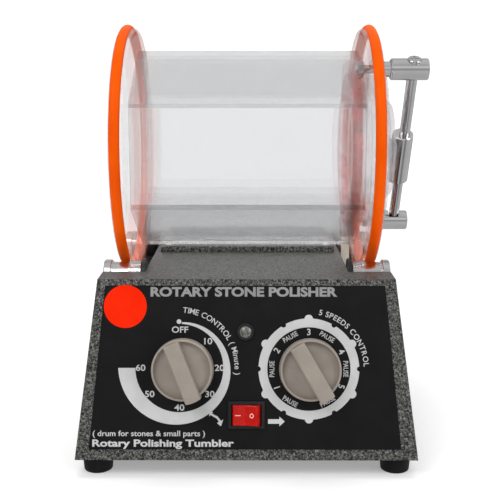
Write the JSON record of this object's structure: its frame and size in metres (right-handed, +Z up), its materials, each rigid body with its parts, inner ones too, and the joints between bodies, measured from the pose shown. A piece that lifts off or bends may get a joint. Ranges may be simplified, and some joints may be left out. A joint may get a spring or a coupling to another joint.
{
  "type": "rotary drum tumbler",
  "caption": "Small rotary drum tumbler: a clear hexagonal drum with a clamped lid rides on grooved rollers in a sloping control base with a timer and speed selector.",
  "frame": {"origin": "bottom centre of the overall box, on the ground", "axes": "+X along the drum axis towards the lid and clamp, +Y towards the rear, +Z up; the control panel faces -Y"},
  "size_m": [0.2082, 0.2148, 0.2582],
  "materials": {
    "hammertone": "grey hammertone enamel",
    "label_black": "printed polycarbonate overlay",
    "sticker_red": "printed paper",
    "rubber_black": "moulded",
    "chrome": "polished",
    "steel": "zinc plated",
    "alloy": "turned",
    "motor_can": "zinc plated can",
    "clear_acrylic": "polished clear",
    "ring_orange": "moulded silicone",
    "gasket_red": "moulded silicone",
    "knob_beige": "moulded",
    "rocker_red": "moulded",
    "black_plastic": "moulded",
    "belt_cream": "moulded toothed belt",
    "lens": "translucent",
    "board_green": "laminate"
  },
  "bodies": {
    "base": {"housing_shell": "hammertone", "side_panel_left": "hammertone", "side_panel_right": "hammertone", "bay_liner_left": "hammertone", "bay_liner_right": "hammertone", "bottom_plate": "hammertone", "deck_cover": "hammertone", "deck_screws": "steel", "side_screws": "steel", "rubber_feet": "rubber_black", "foot_screws": "steel", "front_label": "label_black", "round_sticker": "sticker_red", "lamp_ring": "black_plastic", "lamp_lens": "lens", "rocker_frame": "black_plastic", "timer_unit": "black_plastic", "speed_switch": "black_plastic", "cord_gland": "rubber_black", "shaft_bearings": "black_plastic", "drive_belt": "belt_cream", "motor": "motor_can", "motor_bracket": "steel", "motor_screws": "steel", "control_board": "board_green", "board_spacers": "black_plastic"},
    "front_shaft": {"front_shaft": "steel", "front_roller_left": "alloy", "front_roller_right": "alloy"},
    "rear_shaft": {"rear_shaft": "steel", "rear_roller_left": "alloy", "rear_roller_right": "alloy", "rear_hub": "black_plastic", "rear_drive_pulley": "alloy"},
    "motor_rotor": {"motor_shaft": "steel", "motor_pulley": "alloy"},
    "drum": {"drum_shell": "clear_acrylic", "flange_left": "clear_acrylic", "flange_right": "clear_acrylic", "drive_ring_left": "ring_orange", "drive_ring_right": "ring_orange", "lid": "clear_acrylic", "lid_gasket": "gasket_red", "pressure_pad": "chrome", "lower_post": "chrome", "pivot_stud": "chrome", "post_nuts": "steel"},
    "clamp": {"upper_post": "chrome", "clamp_rod": "chrome", "rod_screw": "chrome"},
    "cam": {"clamp_sleeve": "chrome"},
    "timer_knob": {"timer_knob": "knob_beige", "timer_spindle": "steel"},
    "speed_knob": {"speed_knob": "knob_beige", "speed_spindle": "steel"},
    "rocker": {"rocker_paddle": "rocker_red"}
  },
  "joints": [
    {"name": "drum_spin", "type": "hinge", "parent": "base", "child": "drum", "pos_m": [-0.00493, 0.00246, 0.1795], "axis": [1, 0, 0], "continuous": true},
    {"name": "front_shaft_spin", "type": "hinge", "parent": "base", "child": "front_shaft", "pos_m": [-0.00553, -0.04604, 0.10727], "axis": [1, 0, 0], "continuous": true},
    {"name": "rear_shaft_spin", "type": "hinge", "parent": "base", "child": "rear_shaft", "pos_m": [-0.00553, 0.05096, 0.10727], "axis": [1, 0, 0], "continuous": true},
    {"name": "motor_spin", "type": "hinge", "parent": "base", "child": "motor_rotor", "pos_m": [-0.00553, 0.04846, 0.048], "axis": [1, 0, 0], "continuous": true},
    {"name": "clamp_swing", "type": "hinge", "parent": "drum", "child": "clamp", "pos_m": [0.08547, -0.02714, 0.2305], "axis": [1, 0, 0], "range_deg": [0, 70]},
    {"name": "cam_turn", "type": "hinge", "parent": "clamp", "child": "cam", "pos_m": [0.09507, 0.00527, 0.17466], "axis": [0, 0.502, -0.8649], "range_deg": [0, 180]},
    {"name": "timer_turn", "type": "hinge", "parent": "base", "child": "timer_knob", "pos_m": [-0.04213, -0.08826, 0.06123], "axis": [0, -0.9717, 0.2362], "range_deg": [-112, 158]},
    {"name": "speed_turn", "type": "hinge", "parent": "base", "child": "speed_knob", "pos_m": [0.03107, -0.08826, 0.06123], "axis": [0, -0.9717, 0.2362], "range_deg": [0, 300]},
    {"name": "rocker_tilt", "type": "hinge", "parent": "base", "child": "rocker", "pos_m": [-0.00553, -0.09299, 0.03542], "axis": [0, 0.2362, 0.9717], "range_deg": [0, 20]}
  ],
  "couplings": [
    {"joint": "front_shaft_spin", "follows": "drum_spin", "ratio": -9.8375},
    {"joint": "rear_shaft_spin", "follows": "drum_spin", "ratio": -9.8375},
    {"joint": "motor_spin", "follows": "drum_spin", "ratio": -13.773}
  ]
}
